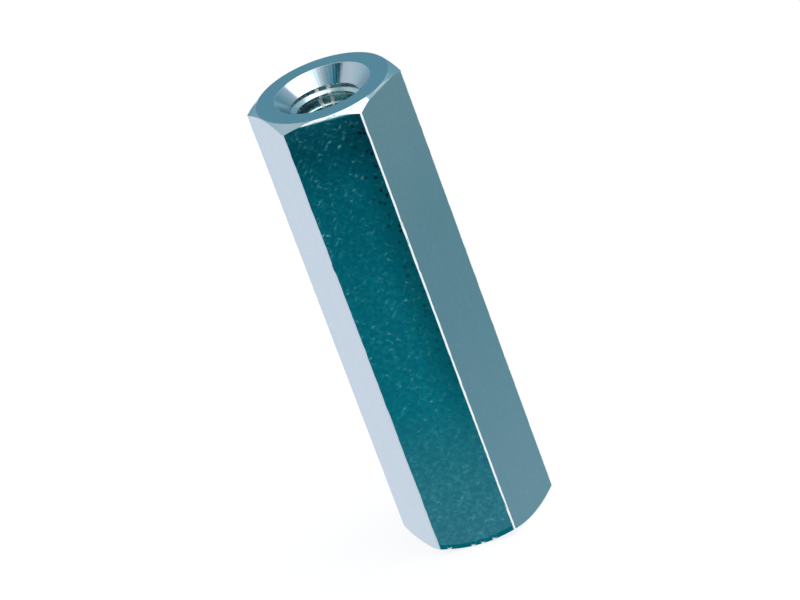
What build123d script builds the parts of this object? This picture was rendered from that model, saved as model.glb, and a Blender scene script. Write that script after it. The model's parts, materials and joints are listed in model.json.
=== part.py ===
from build123d import *
import math
import os

# Hexagonal threaded spacer, female at both ends: one piece of hexagon bar,
# cut to length, faced and chamfered on the lathe, drilled through,
# countersunk at both mouths and tapped right through.
# It stands on one end, with the bore along Z and the origin
# at the middle of the bottom end face. Two corners of the hexagon lie on X.

# Hexagon bar, in millimetres
across_flats = 5.5
length = 20.0
bar_edge_radius = 0.12

# Lathe chamfer that takes the hexagon's corners off at each end, in millimetres and degrees.
# The ring left flat at an end is smaller than the hexagon's flats by the land on each side.
end_land = 0.04
end_chamfer_angle = 30.0

# Metric coarse thread, in millimetres. The bore is the tapping size.
thread_diameter = 3.0
thread_pitch = 0.5

# Countersink at each mouth: how far its rim stands outside the thread, and its full angle.
countersink_rim = 0.47
countersink_angle = 90.0

# How far each cutting tool runs past the bar
tool_overrun = 1.0

sides = 6


def hexagon_bar():
    """The drawn bar: a hexagon with slightly rounded long edges."""
    sharp_outline = RegularPolygon(across_flats / 2, sides, major_radius=False)
    outline = fillet(sharp_outline.vertices(), bar_edge_radius)
    return extrude(outline, length)


def turned_envelope():
    """Everything inside the two end chamfers, as a turned blank wider than the bar."""
    face_radius = across_flats / 2 - end_land
    bar_radius = across_flats / 2 / math.cos(math.pi / sides)
    blank_radius = bar_radius + tool_overrun
    drop = (blank_radius - face_radius) * math.tan(math.radians(end_chamfer_angle))
    section = Polyline(
        (0, 0, 0),
        (face_radius, 0, 0),
        (blank_radius, 0, drop),
        (blank_radius, 0, length - drop),
        (face_radius, 0, length),
        (0, 0, length),
        close=True,
    )
    return revolve(make_face(section), Axis.Z)


def countersunk_bore():
    """The hole that the tap follows, with a cone at each mouth."""
    bore_radius = (thread_diameter - thread_pitch) / 2
    rim_radius = thread_diameter / 2 + countersink_rim
    slope = math.tan(math.radians(countersink_angle / 2))
    cone_depth = (rim_radius - bore_radius) / slope
    tool_radius = rim_radius + tool_overrun * slope
    section = Polyline(
        (0, 0, -tool_overrun),
        (tool_radius, 0, -tool_overrun),
        (bore_radius, 0, cone_depth),
        (bore_radius, 0, length - cone_depth),
        (tool_radius, 0, length + tool_overrun),
        (0, 0, length + tool_overrun),
        close=True,
    )
    return revolve(make_face(section), Axis.Z)


def threaded_spacer():
    """The bar inside its chamfers, less the bore."""
    return (hexagon_bar() & turned_envelope()) - countersunk_bore()


os.makedirs("parts", exist_ok=True)
export_step(threaded_spacer(), "parts/threaded_spacer.step")
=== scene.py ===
import json
import math

import bmesh
import bpy
from mathutils import Matrix, Vector


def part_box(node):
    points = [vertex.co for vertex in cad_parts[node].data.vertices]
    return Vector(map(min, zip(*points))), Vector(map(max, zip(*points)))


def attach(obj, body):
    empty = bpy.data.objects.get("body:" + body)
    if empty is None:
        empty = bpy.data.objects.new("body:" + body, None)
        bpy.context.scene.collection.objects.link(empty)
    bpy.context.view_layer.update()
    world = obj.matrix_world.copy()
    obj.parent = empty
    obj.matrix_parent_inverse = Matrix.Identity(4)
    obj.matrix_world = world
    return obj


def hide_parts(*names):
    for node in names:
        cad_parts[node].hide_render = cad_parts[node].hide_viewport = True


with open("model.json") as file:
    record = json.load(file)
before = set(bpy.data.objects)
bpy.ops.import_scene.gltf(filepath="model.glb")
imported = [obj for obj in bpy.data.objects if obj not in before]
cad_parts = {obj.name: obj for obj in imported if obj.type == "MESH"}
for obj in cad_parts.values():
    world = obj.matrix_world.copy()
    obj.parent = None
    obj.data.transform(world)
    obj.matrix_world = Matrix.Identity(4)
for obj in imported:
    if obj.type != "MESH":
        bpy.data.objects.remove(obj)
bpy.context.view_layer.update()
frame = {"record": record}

# The bench works in millimetres, and the finished piece is brought to the frame's metres.
# The main sizes come from the frame.
MM = 0.001
low, high = (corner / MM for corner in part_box("threaded_spacer"))
mounts = {mount["name"]: mount for mount in frame["record"]["mounts"]}
LENGTH = high.z - low.z
ACROSS_FLATS = high.y - low.y
BORE_RADIUS = mounts["thread_top"]["dims"]["r_mm"]
CONE_DEPTH = LENGTH - mounts["thread_top"]["pos_m"][2] / MM

# Hexagon bar with rounded long edges that are not quite even. The core is the share of a rounding
# that wanders, and within so many roll depths of the ends the edges stay true.
SIDES = 6
BAR_EDGE_RADIUS = 0.12
BAR_EDGE_STEPS = 6
BAR_STATIONS = 150
BAR_EDGE_WANDER = 0.009
BAR_EDGE_CORE = 0.9
BAR_EDGE_TRUE_ENDS = 3
BAR_EDGE_SEED = 3

# Where the ends were cut, the last bit of each flat leans inwards,
# and the front flat carries a burr along its top edge
ROLL_DEPTH = 0.115
ROLL_FIRST_ANGLE = math.radians(4)
ROLL_LAST_ANGLE = math.radians(12)
ROLL_STEPS = 5
ROLL_CUTS = 30
BURR_LEAN = math.radians(11)
BURR_BREADTH = 0.10
BURR_WANDER = 0.012
BURR_TOP_SEED = 5
BURR_FOOT_SEED = 6

# Nicks above the bottom edge of the front flat, by how far they are from its middle
NICK_PLACES = (-1.19, -0.22, 0.18, 0.68)
NICK_RADIUS = 0.14
NICK_DEPTH = 0.05
NICK_RISE = 0.075
NICK_STEPS = 24
NICK_RINGS = 16

# Lathe work at the ends
TURNED_STEPS = 192
END_LAND = 0.04
END_CHAMFER_ANGLE = math.radians(30)
COUNTERSINK_SLOPE = math.radians(45)
MOUTH_ROUND = 0.048
MOUTH_STEPS = 3
TOOL_OVERRUN = 1.0

# Metric coarse thread, right-handed, with root flats, 30 degree flanks and rounded crests
THREAD_PITCH = 0.5
THREAD_ROOT_RADIUS = 1.5
THREAD_ROOT_FLAT = 0.08
THREAD_FLANK_ANGLE = math.radians(30)
THREAD_CREST_ROUND = 0.05
THREAD_CREST_HALF_TURN = math.radians(30)
THREAD_STEPS = 72
TAP_SHANK_GAP = 0.1
TAP_SPARE_TURNS = 2
# How many times round the painted glints in the thread come back
GLINT_REPEATS = 3
# Where a groove stands at the back of the top mouth, below the end face
GROOVE_DEPTH_AT_BACK = 0.67

# Heights closer than the first are level, and points closer than the second are one
SMALLEST_STEP = 0.0002
MERGE_STEP = 0.0007
# A turn sharper than this shows as an edge, and large faces outweigh the small ones beside them
SHARP_TURN = math.radians(28)
LARGE_FACE_WEIGHT = 100

FLAT_RADIUS = ACROSS_FLATS / 2
CORNER_RADIUS = FLAT_RADIUS / math.cos(math.pi / SIDES)
FACE_RADIUS = FLAT_RADIUS - END_LAND
RIM_RADIUS = BORE_RADIUS + CONE_DEPTH

# How faces are told apart. A face that turns this far from its flat is on a long edge. Square and lean
# are shares of a normal, along the axis or towards the front, and reach is a share of a radius.
EDGE_TURN = math.radians(8)
FRONT_FLAT_SQUARE = 0.9999
FRONT_EDGE_LEAN = 0.4
END_SQUARE = 0.9
SIDE_LEAN = 0.7
TURNED_END_LEAN = 0.75
CONE_LEAN_GAP = 0.01
BAR_REACH = 0.99
THREAD_REACH = 1.01


def deselect_everything():
    """Leaves object mode with nothing selected, so that the next operator meets only its own piece."""
    if bpy.context.mode != "OBJECT":
        bpy.ops.object.mode_set(mode="OBJECT")
    bpy.ops.object.select_all(action="DESELECT")


def work_on(piece):
    """Makes this piece the one that operators act on."""
    deselect_everything()
    piece.select_set(True)
    bpy.context.view_layer.objects.active = piece


def choose(piece, domain, wanted):
    """In edit mode, selects only the vertices, edges or faces that the test wants."""
    bpy.ops.mesh.select_mode(type={"verts": "VERT", "edges": "EDGE", "faces": "FACE"}[domain])
    bpy.ops.mesh.select_all(action="DESELECT")
    mesh = bmesh.from_edit_mesh(piece.data)
    for element in getattr(mesh, domain):
        element.select_set(wanted(element))
    mesh.select_flush_mode()
    bmesh.update_edit_mesh(piece.data)


def finish_with(piece, kind, **settings):
    """Adds one modifier to the piece and applies it."""
    work_on(piece)
    bpy.ops.object.modifier_add(type=kind)
    modifier = piece.modifiers[-1]
    for name, value in settings.items():
        setattr(modifier, name, value)
    bpy.ops.object.modifier_apply(modifier=modifier.name)


def machine(piece, tool, operation):
    """Cuts the piece with the tool's shape, or keeps what lies inside it, then removes the tool."""
    finish_with(piece, "BOOLEAN", object=tool, operation=operation, solver="MANIFOLD")
    bpy.data.objects.remove(tool)


def turned_solid(name, body_radius, body_length, end_steps):
    """A cylinder about Z, centred on the spacer, with cones drawn out of each end.

    Each end step is the radius that a cone narrows or widens to, and its length.
    """
    deselect_everything()
    middle = (0, 0, LENGTH / 2)
    bpy.ops.mesh.primitive_cylinder_add(
        vertices=TURNED_STEPS, radius=body_radius, depth=body_length, location=middle)
    solid = bpy.context.object
    solid.name = name
    bpy.ops.object.transform_apply(location=True, rotation=True, scale=True)
    bpy.ops.object.mode_set(mode="EDIT")
    for way in (1, -1):
        choose(solid, "faces", lambda face: (
            face.normal.z * way > END_SQUARE and (face.calc_center_median().z - LENGTH / 2) * way > 0))
        radius = body_radius
        for next_radius, step_length in end_steps:
            taper = next_radius / radius
            bpy.ops.mesh.extrude_region_move(TRANSFORM_OT_translate={"value": (0, 0, way * step_length)})
            bpy.ops.transform.resize(value=(taper, taper, 1), center_override=middle)
            radius = next_radius
    bpy.ops.object.mode_set(mode="OBJECT")
    return solid


def runs_along(edge):
    """Whether this edge is one of the bar's long ones."""
    return abs(edge.verts[0].co.z - edge.verts[1].co.z) > LENGTH / 2


def round_long_edges(bar):
    """Rounds the six long edges of the hexagon."""
    choose(bar, "edges", runs_along)
    bpy.ops.mesh.bevel(
        offset=BAR_EDGE_RADIUS * math.tan(math.pi / SIDES), offset_type="OFFSET",
        segments=BAR_EDGE_STEPS, profile=0.5, affect="EDGES")


def unsettle_long_edges(bar):
    """Lets the rounded edges wander a little between the ends, as plated bar does."""
    choose(bar, "edges", runs_along)
    bpy.ops.mesh.subdivide(number_cuts=BAR_STATIONS)
    half_width = BAR_EDGE_RADIUS * math.tan(math.pi / SIDES) * math.cos(math.pi / SIDES)
    wandering_half = LENGTH / 2 - BAR_EDGE_TRUE_ENDS * ROLL_DEPTH

    def on_rounding(vertex):
        turn = math.atan2(vertex.co.y, vertex.co.x) % (2 * math.pi / SIDES)
        from_corner = min(turn, 2 * math.pi / SIDES - turn)
        between_ends = abs(vertex.co.z - LENGTH / 2) < wandering_half
        return between_ends and from_corner * CORNER_RADIUS < half_width * BAR_EDGE_CORE

    choose(bar, "verts", on_rounding)
    bpy.ops.transform.vertex_random(offset=BAR_EDGE_WANDER, uniform=0, normal=0, seed=BAR_EDGE_SEED)


def roll_ends_over(bar):
    """Draws each end of the bar out in small steps that lean in more and more, then past its length."""
    middle = (0, 0, LENGTH / 2)
    straight_half = LENGTH / 2 - ROLL_DEPTH
    step_height = ROLL_DEPTH / ROLL_STEPS
    step_angle = (ROLL_LAST_ANGLE - ROLL_FIRST_ANGLE) / (ROLL_STEPS - 1)
    for way in (1, -1):
        def at_end(vertex):
            return (vertex.co.z - LENGTH / 2) * way > straight_half - SMALLEST_STEP

        def across_flat_end(edge):
            return edge.calc_length() > FLAT_RADIUS and all(map(at_end, edge.verts))

        choose(bar, "edges", across_flat_end)
        bpy.ops.mesh.subdivide(number_cuts=ROLL_CUTS)
        choose(bar, "faces", lambda face: all(map(at_end, face.verts)))
        radius = FLAT_RADIUS
        for step in range(ROLL_STEPS + 1):
            next_radius = radius - step_height * math.tan(ROLL_FIRST_ANGLE + step * step_angle)
            shrink = next_radius / radius
            bpy.ops.mesh.extrude_region_move(TRANSFORM_OT_translate={"value": (0, 0, way * step_height)})
            bpy.ops.transform.resize(value=(shrink, shrink, 1), center_override=middle)
            radius = next_radius
        bpy.ops.mesh.extrude_region_move(TRANSFORM_OT_translate={"value": (0, 0, way * TOOL_OVERRUN)})


def leave_burr(bar):
    """Pushes the rolled edges of the front flat in and out, and leans the top one further over."""
    front = BURR_BREADTH - FLAT_RADIUS
    roll_start = LENGTH - ROLL_DEPTH

    def on_top_roll(vertex):
        return vertex.co.y < front and vertex.co.z > roll_start + SMALLEST_STEP

    def on_foot_roll(vertex):
        return vertex.co.y < front and vertex.co.z < ROLL_DEPTH - SMALLEST_STEP

    choose(bar, "verts", on_top_roll)
    bpy.ops.transform.rotate(
        value=BURR_LEAN, orient_axis="X", center_override=(0, -FLAT_RADIUS, roll_start))
    bpy.ops.transform.vertex_random(offset=BURR_WANDER, uniform=0, normal=0, seed=BURR_TOP_SEED)
    choose(bar, "verts", on_foot_roll)
    bpy.ops.transform.vertex_random(offset=BURR_WANDER, uniform=0, normal=0, seed=BURR_FOOT_SEED)


def hexagon_bar():
    """The drawn bar: six flats, uneven long edges, and rolled ends that run past the cut-off length."""
    deselect_everything()
    bpy.ops.mesh.primitive_cylinder_add(
        vertices=SIDES, radius=CORNER_RADIUS, depth=LENGTH - 2 * ROLL_DEPTH,
        location=(0, 0, LENGTH / 2), rotation=(0, 0, math.pi / SIDES))
    bar = bpy.context.object
    bar.name = "spacer_body"
    bpy.ops.object.transform_apply(location=True, rotation=True, scale=True)
    bpy.ops.object.mode_set(mode="EDIT")
    round_long_edges(bar)
    roll_ends_over(bar)
    leave_burr(bar)
    unsettle_long_edges(bar)
    bpy.ops.object.mode_set(mode="OBJECT")
    return bar


def turned_envelope():
    """All that the two end chamfers leave, as a blank that is wider than the bar."""
    blank_radius = CORNER_RADIUS + TOOL_OVERRUN
    drop = (blank_radius - FACE_RADIUS) * math.tan(END_CHAMFER_ANGLE)
    return turned_solid("envelope", blank_radius, LENGTH - 2 * drop, [(FACE_RADIUS, drop)])


def countersunk_drill():
    """The tool for the bore: a cone at each mouth that rounds the rim over and runs past the end face."""
    setback = MOUTH_ROUND * math.tan(COUNTERSINK_SLOPE / 2)
    radius = RIM_RADIUS - setback * math.cos(COUNTERSINK_SLOPE)
    end_steps = [(radius, CONE_DEPTH - setback * math.sin(COUNTERSINK_SLOPE))]
    turn = COUNTERSINK_SLOPE / MOUTH_STEPS
    chord = 2 * MOUTH_ROUND * math.sin(turn / 2)
    for step in range(MOUTH_STEPS):
        slope = COUNTERSINK_SLOPE - (step + 0.5) * turn
        radius += chord * math.cos(slope)
        end_steps.append((radius, chord * math.sin(slope)))
    end_steps.append((radius + TOOL_OVERRUN, TOOL_OVERRUN))
    return turned_solid("drill", BORE_RADIUS, LENGTH - 2 * CONE_DEPTH, end_steps)


def groove_section():
    """The outline of one groove, from below its middle to above: a radius and a height each."""
    root_half = THREAD_ROOT_FLAT / 2
    mouth_half = root_half + (THREAD_ROOT_RADIUS - BORE_RADIUS) * math.tan(THREAD_FLANK_ANGLE)
    flank_out = math.cos(THREAD_FLANK_ANGLE)
    flank_up = math.sin(THREAD_FLANK_ANGLE)
    # The crest's rounding, between its end on the flank and its end on the crest
    reach = THREAD_CREST_ROUND * math.tan(THREAD_CREST_HALF_TURN)
    sag = THREAD_CREST_ROUND / math.cos(THREAD_CREST_HALF_TURN) - THREAD_CREST_ROUND
    upper_half = [
        (THREAD_ROOT_RADIUS, root_half),
        (BORE_RADIUS + reach * flank_out, mouth_half - reach * flank_up),
        (BORE_RADIUS + sag * flank_out, mouth_half + sag * flank_up),
        (BORE_RADIUS, mouth_half + reach),
        (BORE_RADIUS - TAP_SHANK_GAP, mouth_half + reach),
    ]
    return [(radius, -height) for radius, height in reversed(upper_half)] + upper_half


def tap():
    """The helical tooth that cuts the thread, wound from below one end of the bar to above the other."""
    deselect_everything()
    section = groove_section()
    # The section stands at the back of the bore, so whole turns below it fix the groove's height there
    turns = math.ceil(LENGTH / THREAD_PITCH) + TAP_SPARE_TURNS
    start = LENGTH - GROOVE_DEPTH_AT_BACK - (turns - 1) * THREAD_PITCH
    bpy.ops.mesh.primitive_circle_add(vertices=len(section), radius=THREAD_PITCH)
    tooth = bpy.context.object
    tooth.name = "tap"
    for vertex, (radius, height) in zip(tooth.data.vertices, section):
        vertex.co = (0, radius, start + height)
    finish_with(
        tooth, "SCREW", axis="Z", angle=2 * math.pi, screw_offset=THREAD_PITCH, iterations=turns,
        steps=THREAD_STEPS, render_steps=THREAD_STEPS, use_merge_vertices=False)
    bpy.ops.object.mode_set(mode="EDIT")
    bpy.ops.mesh.select_all(action="SELECT")
    bpy.ops.mesh.fill_holes(sides=0)
    bpy.ops.mesh.normals_make_consistent(inside=False)
    bpy.ops.object.mode_set(mode="OBJECT")
    return tooth


def chamfer_height(across_flat):
    """How high the bottom chamfer reaches up a flat, so far from its middle."""
    return (math.hypot(across_flat, FLAT_RADIUS) - FACE_RADIUS) * math.tan(END_CHAMFER_ANGLE)


def nick_bottom_edge(bar):
    """Dents the front flat above its bottom edge, where other parts struck it."""
    before_flat = NICK_DEPTH - NICK_RADIUS - FLAT_RADIUS
    for across_flat in NICK_PLACES:
        deselect_everything()
        bpy.ops.mesh.primitive_uv_sphere_add(
            segments=NICK_STEPS, ring_count=NICK_RINGS, radius=NICK_RADIUS,
            location=(across_flat, before_flat, chamfer_height(across_flat) + NICK_RISE))
        ball = bpy.context.object
        ball.name = "nick"
        bpy.ops.object.transform_apply(location=True, rotation=True, scale=True)
        machine(bar, ball, "DIFFERENCE")


def spacer_body():
    """The spacer as it was made: bar, chamfers, countersunk bore, thread, and the nicks it took later."""
    bar = hexagon_bar()
    machine(bar, turned_envelope(), "INTERSECT")
    machine(bar, countersunk_drill(), "DIFFERENCE")
    machine(bar, tap(), "DIFFERENCE")
    nick_bottom_edge(bar)
    work_on(bar)
    bpy.ops.object.mode_set(mode="EDIT")
    bpy.ops.mesh.select_all(action="SELECT")
    bpy.ops.mesh.remove_doubles(threshold=MERGE_STEP)
    bpy.ops.mesh.dissolve_degenerate(threshold=MERGE_STEP)
    bpy.ops.mesh.normals_make_consistent(inside=False)
    bpy.ops.transform.resize(value=(MM, MM, MM), center_override=(0, 0, 0))
    bpy.ops.object.mode_set(mode="OBJECT")
    bpy.ops.object.shade_smooth_by_angle(angle=SHARP_TURN)
    finish_with(bar, "WEIGHTED_NORMAL", mode="FACE_AREA", weight=LARGE_FACE_WEIGHT, keep_sharp=True)
    return bar


# Plate on the drawn bar, in millimetres. The blue film drifts in patches that are longer along the bar.
# Wear says how much tumbling has marked a flat and how much painted shade its margin takes, and the marks
# come and go in patches of their own.
CLEAN_FLAT_WEAR = 0.10
WORN_FLAT_WEAR = 1.0
FILM_PATCH = 1.2
FILM_STRETCH = 5
MARK_PATCH = 1.7
MARK_PATCH_STARTS = 0.38
MARK_PATCH_FULL = 0.62
FEWEST_MARKS = 0.75
MOST_MARKS = 1.2
FADED_PATCH = 0.20
FADED_PATCH_STARTS = 0.40
FADED_PATCH_FULL = 0.70
FADED_DEPTH = 0.0006
CROOK_SIZE = 0.16
CROOK_REACH = 0.09
DRAWN_ROUGHNESS = 0.06
MARK_ROUGHNESS = 0.20
# Depth of a mark as a share of its half width
DENT_DEPTH = 0.006
# Flecks first, then strokes: the spacing of their cells, the widest as a share of a cell, the share of
# cells that have none, the lean in degrees, and how many times longer than wide they are
TUMBLING_MARKS = (
    (0.34, 0.34, 0.2, 0, 1.0),
    (0.20, 0.50, -0.2, 70, 1.7),
    (0.16, 0.54, -0.4, 40, 3.0),
    (0.15, 0.54, -0.4, -55, 2.8),
)

# Right-hand margin of the worn flat, from the axis outwards, and the heights between which its band of
# painted shade and its pinholes, painted dark as the shade inside them, come in
MARGIN_STARTS = 0.3
MARGIN_FULL = 1.4
MARGIN_SHADE_STARTS = 4.0
MARGIN_SHADE_FULL = 8.0
PINHOLE_SHADE_START = 7.0
PINHOLE_SHADE_FULL = 17.0
FEWEST_SHADED_PINHOLES = 0.15
PINHOLE_SPACING = 0.19
PINHOLE_WIDEST = 0.66
PINHOLE_RIM = 0.06
PINHOLE_BOTTOM = 0.45

# Plate on the rubbed edges, paled partly as a painted highlight, and on the turned faces, in millimetres
RUB_PATCH = 0.5
RUB_SMOOTHEST = 0.14
RUB_ROUGHEST = 0.30
TURNED_FILM_PATCH = 1.6
TURNED_ROUGHNESS = 0.11
RING_SPACING = 0.06
RING_DEPTH = 0.0005
CHATTER_SPACING = 0.07
CHATTER_DEPTH = 0.0035

# Plate in the thread: how far below an end it thins and the painted glints fade, in millimetres,
# and the bearings of the painted glints, white streaks down the bore
THREAD_FILM_WHOLE = 0.75
THREAD_FILM_THIN = 1.1
GLINTS_WHOLE = 1.4
GLINTS_GONE = 2.4
GLINT_BEARINGS = (math.radians(91), math.radians(109))
GLINT_CORE = math.radians(1.5)
GLINT_REACH = math.radians(3.5)
GLINT_ROUGHNESS = 0.45
TEAR_SIZE = 0.15
TEAR_DEPTH = 0.001
TEAR_SMOOTHEST = 0.16
TEAR_ROUGHEST = 0.30


def linear(hex_colour):
    """An sRGB hex colour as the linear RGBA that the shaders take."""
    channels = [int(hex_colour[i:i + 2], 16) / 255 for i in (1, 3, 5)]
    return [c / 12.92 if c <= 0.04045 else ((c + 0.055) / 1.055) ** 2.4 for c in channels] + [1]


def per_size(millimetres):
    """The texture scale whose cells or waves have this size."""
    return 1 / (millimetres * MM)


def add_node(tree, kind, inputs=None, **settings):
    """Adds a node, sets its properties, and gives its inputs a value or a link from another socket."""
    node = tree.nodes.new(kind)
    for name, value in settings.items():
        setattr(node, name, value)
    for name, value in (inputs or {}).items():
        if isinstance(value, bpy.types.NodeSocket):
            tree.links.new(value, node.inputs[name])
        else:
            node.inputs[name].default_value = value
    return node


def zinc_plate(name):
    """A bright zinc plate to start from: its tree, its shader and the place that a pattern reads."""
    material = bpy.data.materials.new(name)
    material.use_nodes = True
    tree = material.node_tree
    shader = tree.nodes["Principled BSDF"]
    shader.inputs["Metallic"].default_value = 1
    place = add_node(tree, "ShaderNodeTexCoord").outputs["Object"]
    return material, tree, shader, place


def specks(tree, place, spacing, widest, bare):
    """A mask of soft spots up to so many cells wide, the small ones faint.

    Bare is the share of cells that have none. Where it is below nought, even the smallest spot shows.
    """
    cells = add_node(tree, "ShaderNodeTexVoronoi", {"Vector": place, "Scale": per_size(spacing)})
    chance = add_node(tree, "ShaderNodeSeparateColor", {"Color": cells.outputs["Color"]}).outputs["Red"]
    size = add_node(
        tree, "ShaderNodeMapRange",
        {"Value": chance, "From Min": bare, "From Max": 1.0}).outputs["Result"]
    reach = add_node(tree, "ShaderNodeMath", {0: size, 1: widest}, operation="MULTIPLY").outputs["Value"]
    return add_node(
        tree, "ShaderNodeMapRange",
        {"Value": cells.outputs["Distance"], "From Min": reach, "From Max": 0.0, "To Max": size},
        interpolation_type="SMOOTHSTEP").outputs["Result"]


def drifting_film(tree, place):
    """The colour of the blue film, which drifts between greenish and lavender along the bar."""
    along = add_node(
        tree, "ShaderNodeVectorMath", {0: place, 1: (1, 1, 1 / FILM_STRETCH)}, operation="MULTIPLY")
    drift = add_node(
        tree, "ShaderNodeTexNoise",
        {"Vector": along.outputs["Vector"], "Scale": per_size(FILM_PATCH), "Detail": 2})
    return add_node(
        tree, "ShaderNodeMix", {0: drift.outputs["Fac"], 6: linear("#B0CBD3"), 7: linear("#BFC9DB")},
        data_type="RGBA").outputs[2]


def crowded_marks(tree, place, wear):
    """How much the marks of tumbling show from place to place."""
    patches = add_node(
        tree, "ShaderNodeTexNoise", {"Vector": place, "Scale": per_size(MARK_PATCH), "Detail": 1})
    return add_node(
        tree, "ShaderNodeMapRange",
        {"Value": patches.outputs["Fac"], "From Min": MARK_PATCH_STARTS, "From Max": MARK_PATCH_FULL,
         "To Min": FEWEST_MARKS * wear, "To Max": MOST_MARKS * wear}).outputs["Result"]


def faded_patches(tree, place, wear, crowd, colour):
    """Fades the film between the marks, and gives that the height of its faint unevenness."""
    uneven = add_node(
        tree, "ShaderNodeTexNoise",
        {"Vector": place, "Scale": per_size(FADED_PATCH), "Detail": 2}).outputs["Fac"]
    faded = add_node(
        tree, "ShaderNodeMapRange",
        {"Value": uneven, "From Min": FADED_PATCH_STARTS, "From Max": FADED_PATCH_FULL,
         "To Max": crowd}).outputs["Result"]
    colour = add_node(
        tree, "ShaderNodeMix", {0: faded, 6: colour, 7: linear("#CFE4E8")}, data_type="RGBA").outputs[2]
    height = add_node(
        tree, "ShaderNodeMath", {0: uneven, 1: FADED_DEPTH * wear}, operation="MULTIPLY").outputs["Value"]
    return colour, height


def crooked_place(tree, place):
    """The place on the piece, strayed a little, so that the outlines of marks come out crooked."""
    crooked = add_node(
        tree, "ShaderNodeTexNoise",
        {"Vector": place, "Scale": per_size(CROOK_SIZE), "Detail": 1}).outputs["Color"]
    reach = CROOK_REACH * MM
    return add_node(
        tree, "ShaderNodeVectorMath", {0: crooked, 1: (reach, reach, reach), 2: place},
        operation="MULTIPLY_ADD").outputs["Vector"]


def tumbling_marks(tree, strayed, crowd, colour, height):
    """Lays flecks and strokes over the film: paler, rougher and a little sunk."""
    roughness = DRAWN_ROUGHNESS
    for spacing, widest, bare, lean, stretch in TUMBLING_MARKS:
        leaning = add_node(
            tree, "ShaderNodeMapping",
            {"Vector": strayed, "Rotation": (0, math.radians(lean), 0), "Scale": (1, 1, stretch)},
            vector_type="TEXTURE")
        spots = specks(tree, leaning.outputs["Vector"], spacing, widest, bare)
        rubbed = add_node(
            tree, "ShaderNodeMath", {0: spots, 1: crowd}, operation="MULTIPLY").outputs["Value"]
        colour = add_node(
            tree, "ShaderNodeMix", {0: rubbed, 6: colour, 7: linear("#E4F4F5")},
            data_type="RGBA").outputs[2]
        roughness = add_node(
            tree, "ShaderNodeMath", {0: rubbed, 1: MARK_ROUGHNESS, 2: roughness},
            operation="MULTIPLY_ADD").outputs["Value"]
        height = add_node(
            tree, "ShaderNodeMath", {0: rubbed, 1: -DENT_DEPTH * spacing * widest, 2: height},
            operation="MULTIPLY_ADD").outputs["Value"]
    return colour, roughness, height


def painted_margin_shade(tree, place, strayed, wear, colour):
    """Paints shade on the right-hand margin of the worn flat: a darker band above its foot, and pinholes
    painted dark as the shade inside them higher up.
    """
    sides = add_node(tree, "ShaderNodeSeparateXYZ", {"Vector": place})
    margin = add_node(
        tree, "ShaderNodeMapRange",
        {"Value": sides.outputs["X"], "From Min": MARGIN_STARTS * MM, "From Max": MARGIN_FULL * MM,
         "To Max": wear * wear}).outputs["Result"]
    above_foot = add_node(
        tree, "ShaderNodeMapRange",
        {"Value": sides.outputs["Z"], "From Min": MARGIN_SHADE_STARTS * MM,
         "From Max": MARGIN_SHADE_FULL * MM}).outputs["Result"]
    margin_shade = add_node(
        tree, "ShaderNodeMath", {0: margin, 1: above_foot}, operation="MULTIPLY").outputs["Value"]
    # Painted shade: the darker band along the margin
    colour = add_node(
        tree, "ShaderNodeMix", {0: margin_shade, 6: colour, 7: linear("#8FB1B9")}, data_type="RGBA").outputs[2]
    dots = specks(tree, strayed, PINHOLE_SPACING, PINHOLE_WIDEST, bare=0.0)
    deep = add_node(
        tree, "ShaderNodeMapRange",
        {"Value": dots, "From Min": PINHOLE_RIM, "From Max": PINHOLE_BOTTOM}).outputs["Result"]
    upper = add_node(
        tree, "ShaderNodeMapRange",
        {"Value": sides.outputs["Z"], "From Min": PINHOLE_SHADE_START * MM, "From Max": PINHOLE_SHADE_FULL * MM,
         "To Min": FEWEST_SHADED_PINHOLES}).outputs["Result"]
    holed = add_node(tree, "ShaderNodeMath", {0: margin, 1: upper}, operation="MULTIPLY").outputs["Value"]
    pinhole_shade = add_node(tree, "ShaderNodeMath", {0: deep, 1: holed}, operation="MULTIPLY").outputs["Value"]
    # Painted shade: the pinholes are painted dark as the shade inside them, with no relief
    return add_node(
        tree, "ShaderNodeMix", {0: pinhole_shade, 6: colour, 7: linear("#2E3C46")},
        data_type="RGBA").outputs[2]


def drawn_zinc_plate(name, wear):
    """Blue-passivated zinc on cold-drawn bar.

    Drawing leaves the flats smooth enough to mirror the studio, and the passivation drifts between
    greenish and lavender blue along the bar. Parts that tumble together while they are plated rub
    each other: bright flecks and short strokes where they met, and a faint unevenness between them.
    A margin along one edge is darkened with painted shade: a band, and pinholes painted dark as the shade
    inside them. Wear says how much of that shows.
    """
    material, tree, shader, place = zinc_plate(name)
    crowd = crowded_marks(tree, place, wear)
    colour, height = faded_patches(tree, place, wear, crowd, drifting_film(tree, place))
    strayed = crooked_place(tree, place)
    colour, roughness, height = tumbling_marks(tree, strayed, crowd, colour, height)
    # Painted shade: a darker band along the right-hand margin and pinholes painted dark as the shade inside
    # them
    colour = painted_margin_shade(tree, place, strayed, wear, colour)
    relief = add_node(tree, "ShaderNodeBump", {"Height": height, "Strength": 1.0, "Distance": MM})
    tree.links.new(colour, shader.inputs["Base Color"])
    tree.links.new(roughness, shader.inputs["Roughness"])
    tree.links.new(relief.outputs["Normal"], shader.inputs["Normal"])
    return material


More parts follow.
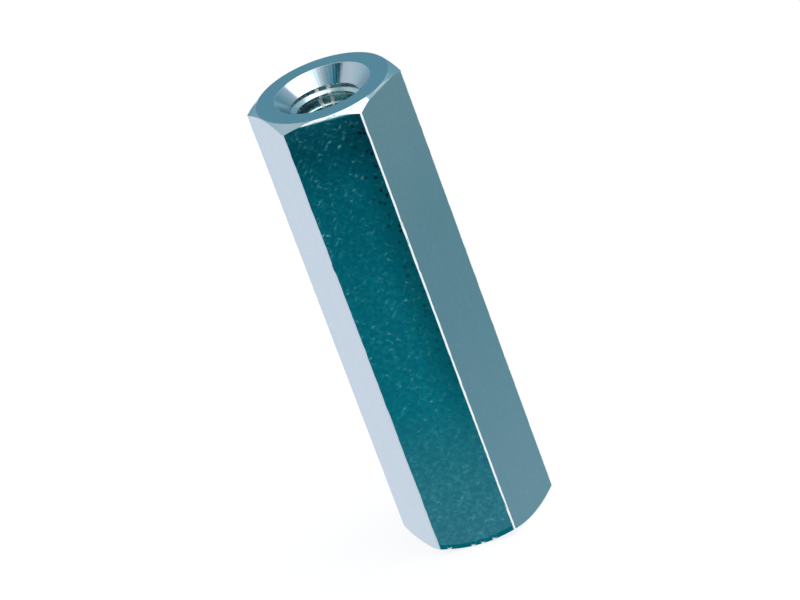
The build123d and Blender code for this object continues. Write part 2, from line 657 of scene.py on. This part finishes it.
def burnished_zinc_plate():
    """Plate on the edges of the bar.

    Parts that tumble together rub the blue film off there first, so the edges are softer in their shine
    and a little uneven. Their near-white colour is partly that wear and partly a painted highlight.
    """
    material, tree, shader, place = zinc_plate("burnished_zinc_plate")
    rubbing_and_sheen = add_node(
        tree, "ShaderNodeTexNoise", {"Vector": place, "Scale": per_size(RUB_PATCH), "Detail": 2})
    # Near white: partly rubbed film and partly a painted highlight
    colour = add_node(
        tree, "ShaderNodeMix", {0: rubbing_and_sheen.outputs["Fac"], 6: linear("#E8F0F4"), 7: linear("#FCFDFE")},
        data_type="RGBA")
    dulled = add_node(
        tree, "ShaderNodeMapRange",
        {"Value": rubbing_and_sheen.outputs["Fac"], "To Min": RUB_SMOOTHEST, "To Max": RUB_ROUGHEST})
    tree.links.new(colour.outputs[2], shader.inputs["Base Color"])
    tree.links.new(dulled.outputs["Result"], shader.inputs["Roughness"])
    return material


def turned_zinc_plate(name, spacing, depth, over_rings):
    """The same plate on faces that a lathe cut.

    The facing tool leaves fine rings. The countersink chatters instead, and its streaks break the edges
    of reflections. Either mark is drawn somewhat coarser than it is, so that it shows.
    """
    material, tree, shader, place = zinc_plate(name)
    flat = add_node(
        tree, "ShaderNodeVectorMath", {0: place, 1: (1, 1, 0)}, operation="MULTIPLY").outputs["Vector"]
    if over_rings:
        from_axis = add_node(tree, "ShaderNodeVectorMath", {0: flat}, operation="LENGTH")
        marks = add_node(
            tree, "ShaderNodeTexNoise",
            {"W": from_axis.outputs["Value"], "Scale": per_size(spacing), "Detail": 1},
            noise_dimensions="1D")
    else:
        way = add_node(tree, "ShaderNodeVectorMath", {0: flat}, operation="NORMALIZE")
        marks = add_node(
            tree, "ShaderNodeTexNoise",
            {"Vector": way.outputs["Vector"], "Scale": RIM_RADIUS / spacing, "Detail": 2})
    drift = add_node(
        tree, "ShaderNodeTexNoise", {"Vector": place, "Scale": per_size(TURNED_FILM_PATCH), "Detail": 2})
    colour = add_node(
        tree, "ShaderNodeMix", {0: drift.outputs["Fac"], 6: linear("#B2CBD5"), 7: linear("#BEC9D9")},
        data_type="RGBA").outputs[2]
    relief = add_node(
        tree, "ShaderNodeBump",
        {"Height": marks.outputs["Fac"], "Strength": 1.0, "Distance": depth * MM})
    tree.links.new(colour, shader.inputs["Base Color"])
    tree.links.new(relief.outputs["Normal"], shader.inputs["Normal"])
    shader.inputs["Roughness"].default_value = TURNED_ROUGHNESS
    return material


def painted_glints(tree, place, outward, colour, roughness):
    """Paints glints: whitens and roughens narrow streaks down the bore at given bearings, as far as the
    mouth shows.
    """
    sides = add_node(tree, "ShaderNodeSeparateXYZ", {"Vector": place})
    round_axis = add_node(
        tree, "ShaderNodeMath", {0: sides.outputs["Y"], 1: sides.outputs["X"]}, operation="ARCTAN2")
    near_mouth = add_node(
        tree, "ShaderNodeMapRange",
        {"Value": outward, "From Min": (LENGTH / 2 - GLINTS_GONE) * MM,
         "From Max": (LENGTH / 2 - GLINTS_WHOLE) * MM})
    for glint_bearing in GLINT_BEARINGS:
        turn = add_node(
            tree, "ShaderNodeMath", {0: round_axis.outputs["Value"], 1: glint_bearing}, operation="SUBTRACT")
        every_repeat = add_node(
            tree, "ShaderNodeMath", {0: turn.outputs["Value"], 1: GLINT_REPEATS}, operation="MULTIPLY")
        near = add_node(tree, "ShaderNodeMath", {0: every_repeat.outputs["Value"]}, operation="COSINE")
        glint = add_node(
            tree, "ShaderNodeMapRange",
            {"Value": near.outputs["Value"], "From Min": math.cos(GLINT_REPEATS * GLINT_REACH),
             "From Max": math.cos(GLINT_REPEATS * GLINT_CORE),
             "To Max": near_mouth.outputs["Result"]}).outputs["Result"]
        # Painted glint: the streak is whitened
        colour = add_node(
            tree, "ShaderNodeMix", {0: glint, 6: colour, 7: linear("#F4F6F6")}, data_type="RGBA").outputs[2]
        roughness = add_node(
            tree, "ShaderNodeMath", {0: glint, 1: GLINT_ROUGHNESS, 2: roughness},
            operation="MULTIPLY_ADD").outputs["Value"]
    return colour, roughness


def tapped_zinc_plate():
    """Plate in the thread.

    The bath reaches it last, so it turns thinner and greener within half a millimetre of the countersink,
    and the tap has torn it a little. White streaks near the mouth are painted glints.
    """
    material, tree, shader, place = zinc_plate("tapped_zinc_plate")
    from_middle = add_node(
        tree, "ShaderNodeVectorMath", {0: place, 1: (0, 0, LENGTH / 2 * MM)}, operation="SUBTRACT")
    either_way = add_node(
        tree, "ShaderNodeVectorMath", {0: from_middle.outputs["Vector"]}, operation="ABSOLUTE")
    outward = add_node(
        tree, "ShaderNodeSeparateXYZ", {"Vector": either_way.outputs["Vector"]}).outputs["Z"]
    reached = add_node(
        tree, "ShaderNodeMapRange",
        {"Value": outward, "From Min": (LENGTH / 2 - THREAD_FILM_THIN) * MM,
         "From Max": (LENGTH / 2 - THREAD_FILM_WHOLE) * MM})
    colour = add_node(
        tree, "ShaderNodeMix", {0: reached.outputs["Result"], 6: linear("#B4D6D9"), 7: linear("#BCCFD7")},
        data_type="RGBA").outputs[2]
    tears = add_node(
        tree, "ShaderNodeTexNoise",
        {"Vector": place, "Scale": per_size(TEAR_SIZE), "Detail": 1}).outputs["Fac"]
    roughness = add_node(
        tree, "ShaderNodeMapRange",
        {"Value": tears, "To Min": TEAR_SMOOTHEST, "To Max": TEAR_ROUGHEST}).outputs["Result"]
    # Painted glints: white, rougher streaks down the bore
    colour, roughness = painted_glints(tree, place, outward, colour, roughness)
    relief = add_node(
        tree, "ShaderNodeBump", {"Height": tears, "Strength": 1.0, "Distance": TEAR_DEPTH * MM})
    tree.links.new(colour, shader.inputs["Base Color"])
    tree.links.new(roughness, shader.inputs["Roughness"])
    tree.links.new(relief.outputs["Normal"], shader.inputs["Normal"])
    return material


def dress(piece):
    """Gives each surface its finish: drawn flats, turned ends, tapped bore with painted glints, and rubbed
    edges paled partly as a painted highlight.
    """
    piece.data.materials.clear()
    for material in (
            drawn_zinc_plate("drawn_zinc_plate", CLEAN_FLAT_WEAR),
            drawn_zinc_plate("tumbled_zinc_plate", WORN_FLAT_WEAR),
            turned_zinc_plate("faced_zinc_plate", RING_SPACING, RING_DEPTH, over_rings=True),
            turned_zinc_plate("countersunk_zinc_plate", CHATTER_SPACING, CHATTER_DEPTH, over_rings=False),
            tapped_zinc_plate(),
            burnished_zinc_plate()):
        piece.data.materials.append(material)
    work_on(piece)
    bpy.ops.object.mode_set(mode="EDIT")

    def out(face):
        return face.calc_center_median().xy.length / MM

    def from_end(face):
        height = face.calc_center_median().z / MM
        return min(height, LENGTH - height)

    def on_worn_flat(face):
        return face.normal.y < -FRONT_FLAT_SQUARE and out(face) > FACE_RADIUS

    # Painted highlight: the rounded long edges and the roll at the top end take the paler plate
    def on_rubbed_and_highlighted_edge(face):
        turn = math.atan2(face.normal.y, face.normal.x) % (2 * math.pi / SIDES)
        off_flat = abs(turn - math.pi / SIDES)
        at_top = face.calc_center_median().z / MM > LENGTH - ROLL_DEPTH - CONE_DEPTH
        rolled = at_top and face.normal.z > math.sin(ROLL_FIRST_ANGLE / 2)
        on_bar = out(face) > FACE_RADIUS * BAR_REACH and abs(face.normal.z) < SIDE_LEAN
        # The edge between the front flat and the one on its left is left without the painted highlight
        left_unhighlighted = face.normal.x < -math.sin(EDGE_TURN) and face.normal.y < -FRONT_EDGE_LEAN
        return on_bar and not left_unhighlighted and (off_flat > EDGE_TURN or rolled)

    def on_turned_end(face):
        level = from_end(face) < SMALLEST_STEP
        return abs(face.normal.z) > TURNED_END_LEAN and (level or out(face) > RIM_RADIUS)

    def in_countersink(face):
        on_cone = abs(out(face) + from_end(face) - RIM_RADIUS) < MOUTH_ROUND / 2
        return on_cone and abs(abs(face.normal.z) - math.cos(COUNTERSINK_SLOPE)) < CONE_LEAN_GAP

    def in_thread(face):
        inside = out(face) < THREAD_ROOT_RADIUS * THREAD_REACH and from_end(face) > SMALLEST_STEP
        return inside and not in_countersink(face)

    for slot, wanted in enumerate(
            (on_worn_flat, on_turned_end, in_countersink, in_thread, on_rubbed_and_highlighted_edge), start=1):
        choose(piece, "faces", wanted)
        piece.active_material_index = slot
        bpy.ops.object.material_slot_assign()
    bpy.ops.object.mode_set(mode="OBJECT")


body = spacer_body()
dress(body)
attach(body, "root")
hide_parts("threaded_spacer")

# Stage: white floor and pale sky, one softbox, and cards that only the metal's reflections show.
# Bearings run from +X towards +Y, in degrees, and heights from the horizon. Level cards are in
# millimetres from the spacer's axis, cards overhead in shares of their height above it.
FLOOR_SIZE = 4000 * MM
FLOOR_DROP = 0.02
FLOOR_GLOW = 0.82
FLOOR_GREY = 0.22
CARD_LIFT = 0.005
CARD_DISTANCE = 250 * MM
CARD_CEILING = 150.0
LAMP_CEILING = 300.0
# Light passes between the turns of the thread many times before it comes out
THREAD_BOUNCES = 12

# The front flat mirrors the card at its foot as a line along its bottom edge, this wide above the chamfer.
# For each millimetre up the flat, what it mirrors lies so far to the left and in front on the floor.
FOOT_LINE = 0.18
FOOT_MIRROR_LEFT = 0.36
FOOT_MIRROR_FRONT = 1.946
FOOT_TUCK = 0.3
FOOT_STEPS = 4

half_flat = CORNER_RADIUS / 2
front_left = (-half_flat, -FLAT_RADIUS)
front_right = (half_flat, -FLAT_RADIUS)


def floor():
    """Pale paper that is white to the eye, with enough matt surface to keep a soft shadow."""
    deselect_everything()
    bpy.ops.mesh.primitive_plane_add(size=FLOOR_SIZE, location=(0, 0, -FLOOR_DROP * MM))
    sheet = bpy.context.object
    sheet.name = "floor"
    material = bpy.data.materials.new("white_paper")
    material.use_nodes = True
    tree = material.node_tree
    tree.nodes.clear()
    glow = add_node(tree, "ShaderNodeEmission", {"Color": linear("#FFFFFF"), "Strength": FLOOR_GLOW})
    matt = add_node(tree, "ShaderNodeBsdfDiffuse", {"Color": (FLOOR_GREY, FLOOR_GREY, FLOOR_GREY, 1)})
    both = add_node(tree, "ShaderNodeAddShader", {0: glow.outputs["Emission"], 1: matt.outputs["BSDF"]})
    add_node(tree, "ShaderNodeOutputMaterial", {"Surface": both.outputs["Shader"]})
    sheet.data.materials.append(material)


def sky():
    """Pale all round, a little below the level of white paper."""
    world = bpy.data.worlds.new("pale_studio")
    bpy.context.scene.world = world
    world.use_nodes = True
    world.node_tree.nodes["Background"].inputs["Color"].default_value = linear("#DDE2E5")
    bpy.context.scene.view_settings.view_transform = "Standard"


def bearing_vector(bearing):
    """The level direction with this bearing."""
    return (math.cos(math.radians(bearing)), math.sin(math.radians(bearing)), 0)


def finish_card(card, name, along, stops, strength):
    """Self-lit paper seen in the metal and nowhere else, coloured through the stops along one direction."""
    card.name = name
    card.visible_camera = False
    card.visible_diffuse = False
    card.visible_transmission = False
    card.visible_shadow = False
    material = bpy.data.materials.new(name)
    material.use_nodes = True
    tree = material.node_tree
    tree.nodes.clear()
    place = add_node(tree, "ShaderNodeTexCoord").outputs["Object"]
    run = add_node(tree, "ShaderNodeVectorMath", {0: place, 1: along}, operation="DOT_PRODUCT")
    first = stops[0][0]
    last = stops[-1][0]
    share = add_node(
        tree, "ShaderNodeMapRange", {"Value": run.outputs["Value"], "From Min": first, "From Max": last})
    ramp = add_node(tree, "ShaderNodeValToRGB", {"Fac": share.outputs["Result"]})
    elements = ramp.color_ramp.elements
    while len(elements) < len(stops):
        elements.new(1.0)
    for element, (position, colour) in zip(elements, stops):
        element.position = (position - first) / (last - first)
        element.color = linear(colour)
    glow = add_node(tree, "ShaderNodeEmission", {"Color": ramp.outputs["Color"], "Strength": strength})
    add_node(tree, "ShaderNodeOutputMaterial", {"Surface": glow.outputs["Emission"]})
    card.data.materials.append(material)


def level_card(name, corners, height, bearing, stops, strength=1.0):
    """A card that lies level, cut to these corners and coloured along a bearing."""
    deselect_everything()
    bpy.ops.mesh.primitive_circle_add(vertices=len(corners), fill_type="NGON")
    card = bpy.context.object
    for vertex, (x, y) in zip(card.data.vertices, corners):
        vertex.co = (x, y, height)
    card.scale = (MM, MM, MM)
    finish_card(card, name, bearing_vector(bearing), stops, strength)


def floor_card(name, corners, bearing, stops, strength=1.0):
    """A card on the floor, just above it."""
    level_card(name, corners, CARD_LIFT - FLOOR_DROP, bearing, stops, strength)


def foot_card(name, stops):
    """A card on top of the one in front, cut so that its image follows the chamfer of the front flat."""
    edge = []
    for step in range(-FOOT_STEPS, FOOT_STEPS + 1):
        across_flat = step / FOOT_STEPS * half_flat
        line_top = chamfer_height(across_flat) + FOOT_LINE
        edge.append((
            across_flat - FOOT_MIRROR_LEFT * line_top, -FLAT_RADIUS - FOOT_MIRROR_FRONT * line_top))
    under = FOOT_TUCK - FLAT_RADIUS
    corners = [(-half_flat, under), *edge, (half_flat, under)]
    level_card(name, corners, 2 * CARD_LIFT - FLOOR_DROP, -90, stops)


def overhead_card(name, corners, bearing, stops, strength=1.0):
    """A card over the spacer, given as the spacer sees it for a height of one."""
    places = [(x * CARD_CEILING, y * CARD_CEILING) for x, y in corners]
    level_card(
        name, places, LENGTH + CARD_CEILING, bearing,
        [(position * CARD_CEILING, colour) for position, colour in stops], strength)


def hung_card(name, bearing, height, wide, tall, stops, strength=1.0):
    """A card that hangs facing the spacer's top end, so many degrees wide and tall.

    Its stops lie along its bearings.
    """
    deselect_everything()
    bpy.ops.mesh.primitive_plane_add(size=2)
    card = bpy.context.object
    level = math.cos(math.radians(height))
    x, y, _ = bearing_vector(bearing)
    way = Vector((level * x, level * y, math.sin(math.radians(height))))
    half_wide, half_tall = (math.tan(math.radians(angle / 2)) for angle in (wide, tall))
    place = Matrix.Translation(Vector((0, 0, LENGTH * MM)) + way * CARD_DISTANCE)
    facing = way.to_track_quat("Z", "Y").to_matrix().to_4x4()
    size = Matrix.Diagonal((half_wide * CARD_DISTANCE, half_tall * CARD_DISTANCE, 1, 1))
    card.matrix_world = place @ facing @ size
    shares = [(math.tan(math.radians(stop - bearing)) / half_wide, colour) for stop, colour in stops]
    finish_card(card, name, (1, 0, 0), shares, strength)


def softbox(name, left, right, front, back, brightness):
    """A lamp behind a level diffuser overhead, given as the spacer sees it for a height of one."""
    lamp = bpy.data.lights.new(name, "AREA")
    lamp.shape = "RECTANGLE"
    lamp.size = (right - left) * LAMP_CEILING * MM
    lamp.size_y = (back - front) * LAMP_CEILING * MM
    lamp.energy = brightness * math.pi * lamp.size * lamp.size_y
    holder = bpy.data.objects.new(name, lamp)
    middle = Vector(((left + right) / 2, (front + back) / 2, 1)) * LAMP_CEILING
    holder.location = (middle + Vector((0, 0, LENGTH))) * MM
    bpy.context.scene.collection.objects.link(holder)


floor()
sky()
bpy.context.scene.cycles.glossy_bounces = THREAD_BOUNCES

floor_card(
    "dark_card_front",
    corners=[front_left, (-190, -190), (-100, -260), (88, -269), front_right], bearing=-90, stops=[
        (3.0, "#408A96"), (8.0, "#33858F"), (15.0, "#0B7C87"), (38.0, "#006874"),
        (43.0, "#00505B"), (60.0, "#1F7C88"), (100.0, "#86C6CB"), (260.0, "#B4DEE0")])
floor_card(
    "grey_card_right",
    corners=[front_right, (115, -FLAT_RADIUS), (108, 55), (CORNER_RADIUS, 0)], bearing=-30, stops=[
        (4.0, "#8CB1B8"), (15.0, "#7FA7AE"), (21.0, "#7CA5AA"), (28.0, "#86A9AD")])
floor_card(
    "pale_card_left",
    corners=[(-CORNER_RADIUS, 0), (-60, 90), (-90, 40), front_left], bearing=210, stops=[
        (0.0, "#FAFAFF"), (90.0, "#FAFAFF")], strength=1.02)
foot_card("dark_card_foot", stops=[(0.0, "#00757F"), (4.0, "#00757F")])
hung_card(
    "blue_card_back", bearing=100, height=20, wide=68, tall=50, stops=[
        (66, "#9AC4CA"), (90, "#75A7B5"), (107, "#75A7B5"), (134, "#B0CCD4")])
hung_card(
    "grey_card_right_wall", bearing=42, height=20, wide=44, tall=26, stops=[
        (29, "#C0CBD7"), (34, "#A5BDC5"), (41, "#9EBDC7"), (55, "#79A6B1")])
hung_card(
    "grey_card_right_high", bearing=32, height=38, wide=24, tall=12, stops=[
        (22, "#FFFFFF"), (30, "#C0CBD7"), (43, "#9EBDC7")])
hung_card(
    "pale_card_right_wall", bearing=60, height=44, wide=26, tall=34, stops=[
        (52, "#BEE0EA"), (62, "#A5CCD3")])
hung_card(
    "pale_card_left_wall", bearing=168, height=30, wide=76, tall=50, stops=[
        (137, "#B5D1D6"), (166, "#E5EBEC"), (190, "#DDE5E4")])
hung_card(
    "bright_card_front", bearing=-100, height=28, wide=60, tall=46, stops=[
        (-110, "#FFFFFF"), (-90, "#FFFFFF")], strength=1.08)
overhead_card(
    "dark_card_overhead",
    corners=[(-0.70, 0.0), (-0.83, -0.46), (-0.59, -0.60), (-0.44, -0.12)], bearing=0, stops=[
        (-1.0, "#005661"), (0.0, "#005661")])
overhead_card(
    "teal_card_overhead",
    corners=[
        (-0.44, -0.12), (-0.59, -0.60), (-0.40, -0.80), (0.25, -0.80),
        (0.25, 0.40), (-0.05, 0.30), (-0.45, 0.12)],
    bearing=26.6, stops=[
        (-0.58, "#20747C"), (-0.48, "#5C7B85"), (-0.34, "#6E848A"), (-0.15, "#B0AFAF"), (0.05, "#FFFFFF")],
    strength=2.0)
softbox("softbox_right", left=0.12, right=1.06, front=-0.46, back=0.40, brightness=2.0)

# Camera, from the photograph's own perspective
AZIMUTH = math.radians(10.47)
ELEVATION = math.radians(26.44)
ROLL = math.radians(-20.50)
DISTANCE = 198.9 * MM
FOCAL_PIXELS = 5006.0
IMAGE_WIDTH = 800
SENSOR_WIDTH = 36
CLIP_RATIO = 100
FRAMING_RIGHT = 0.097 * MM
FRAMING_DOWN = 0.138 * MM


def camera():
    """Looks at the middle of the spacer, rolled as the photograph was, with the lens its edges give."""
    level = Vector((math.cos(AZIMUTH), math.sin(AZIMUTH), 0))
    back = Vector((
        math.sin(AZIMUTH) * math.cos(ELEVATION),
        -math.cos(AZIMUTH) * math.cos(ELEVATION),
        math.sin(ELEVATION)))
    upright = back.cross(level)
    right = level * math.cos(ROLL) + upright * math.sin(ROLL)
    up = upright * math.cos(ROLL) - level * math.sin(ROLL)
    aim = Vector((0, 0, LENGTH / 2 * MM)) - right * FRAMING_RIGHT + up * FRAMING_DOWN
    place = aim + back * DISTANCE
    lens = bpy.data.cameras.new("camera")
    lens.sensor_width = SENSOR_WIDTH
    lens.lens = FOCAL_PIXELS * SENSOR_WIDTH / IMAGE_WIDTH
    lens.clip_start = DISTANCE / CLIP_RATIO
    lens.clip_end = DISTANCE * CLIP_RATIO
    holder = bpy.data.objects.new("camera", lens)
    holder.matrix_world = Matrix.Translation(place) @ Matrix((right, up, back)).transposed().to_4x4()
    bpy.context.scene.collection.objects.link(holder)
    bpy.context.scene.camera = holder


camera()
